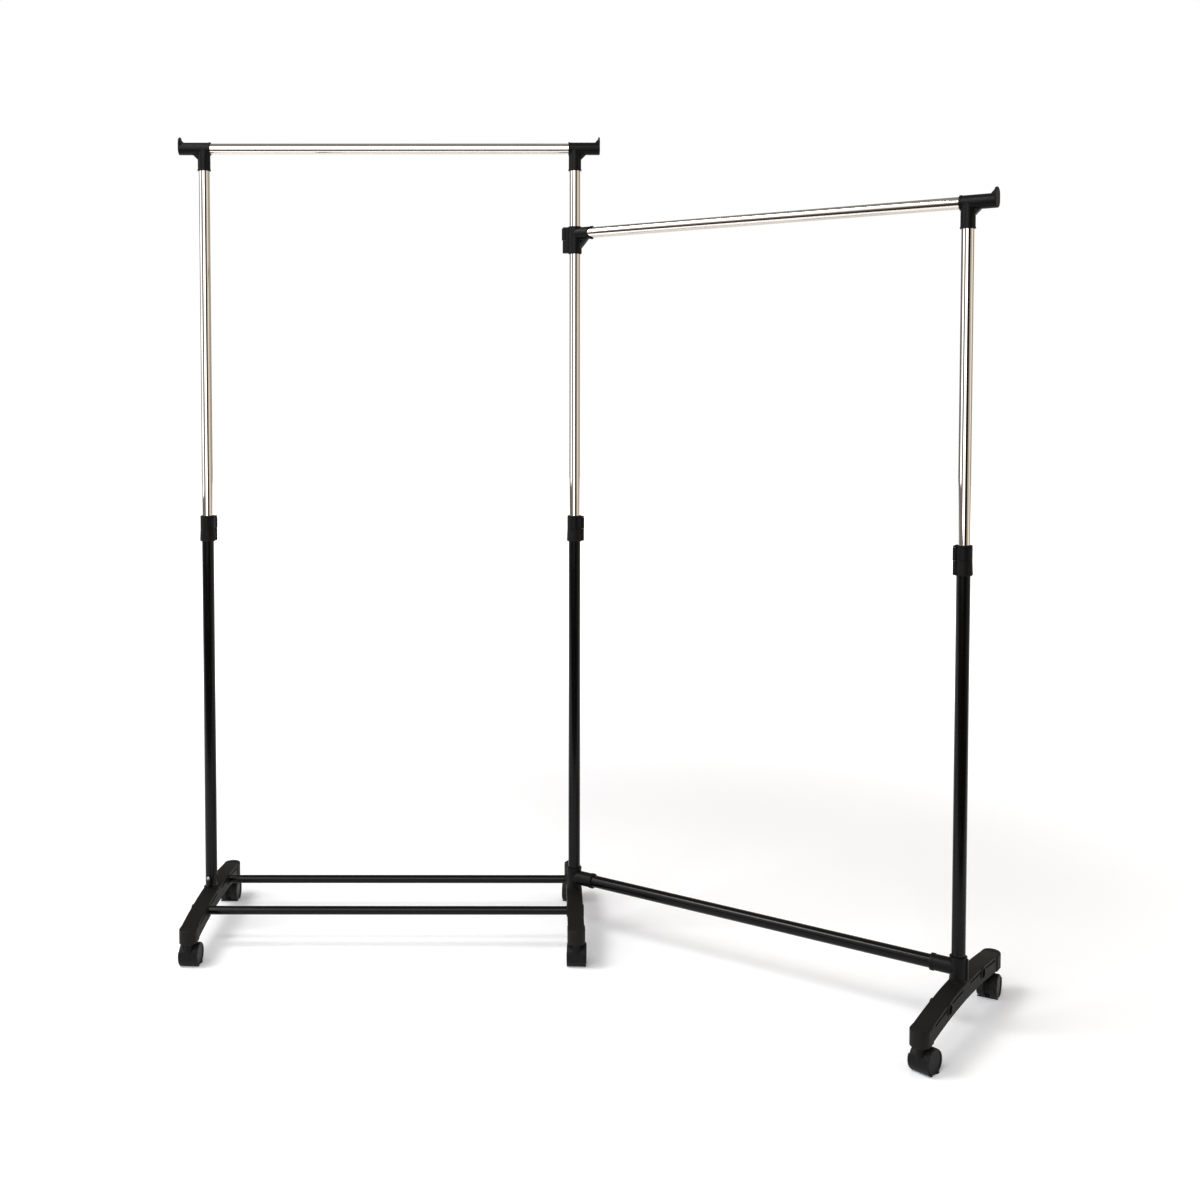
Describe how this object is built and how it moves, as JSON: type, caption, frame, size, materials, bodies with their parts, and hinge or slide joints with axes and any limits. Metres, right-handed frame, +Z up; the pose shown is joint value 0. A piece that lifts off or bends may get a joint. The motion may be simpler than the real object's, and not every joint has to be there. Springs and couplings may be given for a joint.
{
  "type": "garment rail",
  "caption": "Rolling clothes rail with a straight main bay and a lower wing bay that swings about the shared post; telescoping chrome posts, cam-lever collars and arched feet on casters.",
  "frame": {"origin": "floor level under the axis of the middle post, about which the wing bay swings", "axes": "+Z up, +X from the left post towards the middle post, -Y is the front"},
  "size_m": [1.6653, 0.8786, 1.711],
  "materials": {
    "chrome": "bright nickel-chrome plate",
    "black_powder_coat": "gloss black powder coat",
    "rod_black": "gloss black paint",
    "connector_plastic": "satin black moulding",
    "collar_plastic": "fine matt black moulding",
    "foot_plastic": "fine-textured black moulding",
    "caster_hood_plastic": "satin black moulding",
    "wheel_plastic": "hard black wheel",
    "lever_plastic": "semi-gloss black moulding",
    "steel_pins": "zinc-plated steel",
    "nylon": "black nylon"
  },
  "bodies": {
    "base": {"left_foot": "foot_plastic", "middle_foot": "foot_plastic", "front_rod": "rod_black", "rear_rod": "rod_black", "left_lower_tube": "black_powder_coat", "middle_lower_tube": "black_powder_coat", "left_height_collar": "collar_plastic", "middle_height_collar": "collar_plastic", "main_lever_pins": "steel_pins", "main_foot_bolts": "steel_pins", "left_post_screw": "steel_pins"},
    "main_rail_frame": {"left_upper_tube": "chrome", "middle_upper_tube": "chrome", "main_rail": "chrome", "left_top_connector": "connector_plastic", "middle_top_connector": "connector_plastic", "main_tube_glides": "nylon"},
    "clamp_liner": {"clamp_liner": "nylon"},
    "wing_base": {"middle_swivel_tee": "connector_plastic", "right_tee": "connector_plastic", "wing_lower_bar": "black_powder_coat", "right_lower_tube": "black_powder_coat", "right_foot": "foot_plastic", "right_height_collar": "collar_plastic", "right_lever_pin": "steel_pins", "right_foot_bolt": "steel_pins"},
    "wing_rail_frame": {"wing_rail": "chrome", "right_top_connector": "connector_plastic", "right_upper_tube": "chrome", "right_tube_glide": "nylon", "swivel_clamp": "connector_plastic", "clamp_lever_pin": "steel_pins"},
    "left_cam_lever": {"left_cam_lever": "lever_plastic"},
    "middle_cam_lever": {"middle_cam_lever": "lever_plastic"},
    "right_cam_lever": {"right_cam_lever": "lever_plastic"},
    "clamp_lever": {"clamp_lever": "lever_plastic"},
    "left_front_caster": {"left_front_caster_hood": "caster_hood_plastic", "left_front_caster_pins": "steel_pins"},
    "left_front_wheel_a": {"left_front_caster_wheel_a": "wheel_plastic"},
    "left_front_wheel_b": {"left_front_caster_wheel_b": "wheel_plastic"},
    "left_rear_caster": {"left_rear_caster_hood": "caster_hood_plastic", "left_rear_caster_pins": "steel_pins"},
    "left_rear_wheel_a": {"left_rear_caster_wheel_a": "wheel_plastic"},
    "left_rear_wheel_b": {"left_rear_caster_wheel_b": "wheel_plastic"},
    "middle_front_caster": {"middle_front_caster_hood": "caster_hood_plastic", "middle_front_caster_pins": "steel_pins"},
    "middle_front_wheel_a": {"middle_front_caster_wheel_a": "wheel_plastic"},
    "middle_front_wheel_b": {"middle_front_caster_wheel_b": "wheel_plastic"},
    "middle_rear_caster": {"middle_rear_caster_hood": "caster_hood_plastic", "middle_rear_caster_pins": "steel_pins"},
    "middle_rear_wheel_a": {"middle_rear_caster_wheel_a": "wheel_plastic"},
    "middle_rear_wheel_b": {"middle_rear_caster_wheel_b": "wheel_plastic"},
    "right_front_caster": {"right_front_caster_hood": "caster_hood_plastic", "right_front_caster_pins": "steel_pins"},
    "right_front_wheel_a": {"right_front_caster_wheel_a": "wheel_plastic"},
    "right_front_wheel_b": {"right_front_caster_wheel_b": "wheel_plastic"},
    "right_rear_caster": {"right_rear_caster_hood": "caster_hood_plastic", "right_rear_caster_pins": "steel_pins"},
    "right_rear_wheel_a": {"right_rear_caster_wheel_a": "wheel_plastic"},
    "right_rear_wheel_b": {"right_rear_caster_wheel_b": "wheel_plastic"}
  },
  "joints": [
    {"name": "main_rail_height", "type": "slide", "parent": "base", "child": "main_rail_frame", "axis": [0, 0, 1], "range_m": [-0.44, 0]},
    {"name": "wing_swing", "type": "hinge", "parent": "base", "child": "wing_base", "pos_m": [0, 0, 0.1178], "axis": [0, 0, 1], "range_deg": [-55.3, 124.7]},
    {"name": "clamp_height", "type": "slide", "parent": "main_rail_frame", "child": "clamp_liner", "axis": [0, 0, 1], "range_m": [-0.1, 0.1]},
    {"name": "wing_rail_swing", "type": "hinge", "parent": "clamp_liner", "child": "wing_rail_frame", "pos_m": [0, 0, 1.505], "axis": [0, 0, 1], "range_deg": [-55.3, 124.7]},
    {"name": "left_cam_lever_hinge", "type": "hinge", "parent": "base", "child": "left_cam_lever", "pos_m": [-0.77384, 0.00885, 0.888], "axis": [0, 0, 1], "range_deg": [0, 100]},
    {"name": "middle_cam_lever_hinge", "type": "hinge", "parent": "base", "child": "middle_cam_lever", "pos_m": [0.01633, -0.00347, 0.888], "axis": [0, 0, 1], "range_deg": [0, 100]},
    {"name": "right_cam_lever_hinge", "type": "hinge", "parent": "wing_base", "child": "right_cam_lever", "pos_m": [0.67415, -0.48109, 0.876], "axis": [0, 0, -1], "range_deg": [0, 100]},
    {"name": "clamp_lever_hinge", "type": "hinge", "parent": "wing_rail_frame", "child": "clamp_lever", "pos_m": [-0.02048, 0.00097, 1.505], "axis": [0, 0, 1], "range_deg": [0, 100]},
    {"name": "left_front_caster_swivel", "type": "hinge", "parent": "base", "child": "left_front_caster", "pos_m": [-0.788, -0.199, 0.05], "axis": [0, 0, 1], "continuous": true},
    {"name": "left_front_wheel_a_spin", "type": "hinge", "parent": "left_front_caster", "child": "left_front_wheel_a", "pos_m": [-0.78681, -0.18204, 0.0225], "axis": [-0.9976, 0.0698, 0], "continuous": true},
    {"name": "left_front_wheel_b_spin", "type": "hinge", "parent": "left_front_caster", "child": "left_front_wheel_b", "pos_m": [-0.78681, -0.18204, 0.0225], "axis": [-0.9976, 0.0698, 0], "continuous": true},
    {"name": "left_rear_caster_swivel", "type": "hinge", "parent": "base", "child": "left_rear_caster", "pos_m": [-0.788, 0.199, 0.05], "axis": [0, 0, 1], "continuous": true},
    {"name": "left_rear_wheel_a_spin", "type": "hinge", "parent": "left_rear_caster", "child": "left_rear_wheel_a", "pos_m": [-0.78859, 0.18201, 0.0225], "axis": [0.9994, -0.0349, 0], "continuous": true},
    {"name": "left_rear_wheel_b_spin", "type": "hinge", "parent": "left_rear_caster", "child": "left_rear_wheel_b", "pos_m": [-0.78859, 0.18201, 0.0225], "axis": [0.9994, -0.0349, 0], "continuous": true},
    {"name": "middle_front_caster_swivel", "type": "hinge", "parent": "base", "child": "middle_front_caster", "pos_m": [0, -0.199, 0.05], "axis": [0, 0, 1], "continuous": true},
    {"name": "middle_front_wheel_a_spin", "type": "hinge", "parent": "middle_front_caster", "child": "middle_front_wheel_a", "pos_m": [0.00119, -0.18204, 0.0225], "axis": [-0.9976, 0.0698, 0], "continuous": true},
    {"name": "middle_front_wheel_b_spin", "type": "hinge", "parent": "middle_front_caster", "child": "middle_front_wheel_b", "pos_m": [0.00119, -0.18204, 0.0225], "axis": [-0.9976, 0.0698, 0], "continuous": true},
    {"name": "middle_rear_caster_swivel", "type": "hinge", "parent": "base", "child": "middle_rear_caster", "pos_m": [0, 0.199, 0.05], "axis": [0, 0, 1], "continuous": true},
    {"name": "middle_rear_wheel_a_spin", "type": "hinge", "parent": "middle_rear_caster", "child": "middle_rear_wheel_a", "pos_m": [-0.00237, 0.18216, 0.0225], "axis": [0.9903, -0.1392, 0], "continuous": true},
    {"name": "middle_rear_wheel_b_spin", "type": "hinge", "parent": "middle_rear_caster", "child": "middle_rear_wheel_b", "pos_m": [-0.00237, 0.18216, 0.0225], "axis": [0.9903, -0.1392, 0], "continuous": true},
    {"name": "right_front_caster_swivel", "type": "hinge", "parent": "wing_base", "child": "right_front_caster", "pos_m": [0.57731, -0.6418, 0.05], "axis": [0, 0, 1], "continuous": true},
    {"name": "right_front_wheel_a_spin", "type": "hinge", "parent": "right_front_caster", "child": "right_front_wheel_a", "pos_m": [0.58995, -0.63043, 0.0225], "axis": [-0.6691, 0.7431, 0], "continuous": true},
    {"name": "right_front_wheel_b_spin", "type": "hinge", "parent": "right_front_caster", "child": "right_front_wheel_b", "pos_m": [0.58995, -0.63043, 0.0225], "axis": [-0.6691, 0.7431, 0], "continuous": true},
    {"name": "right_rear_caster_swivel", "type": "hinge", "parent": "wing_base", "child": "right_rear_caster", "pos_m": [0.80389, -0.31459, 0.05], "axis": [0, 0, 1], "continuous": true},
    {"name": "right_rear_wheel_a_spin", "type": "hinge", "parent": "right_rear_caster", "child": "right_rear_wheel_a", "pos_m": [0.79539, -0.32931, 0.0225], "axis": [0.866, -0.5, 0], "continuous": true},
    {"name": "right_rear_wheel_b_spin", "type": "hinge", "parent": "right_rear_caster", "child": "right_rear_wheel_b", "pos_m": [0.79539, -0.32931, 0.0225], "axis": [0.866, -0.5, 0], "continuous": true}
  ],
  "couplings": [
    {"joint": "wing_rail_swing", "follows": "wing_swing", "ratio": 1}
  ]
}
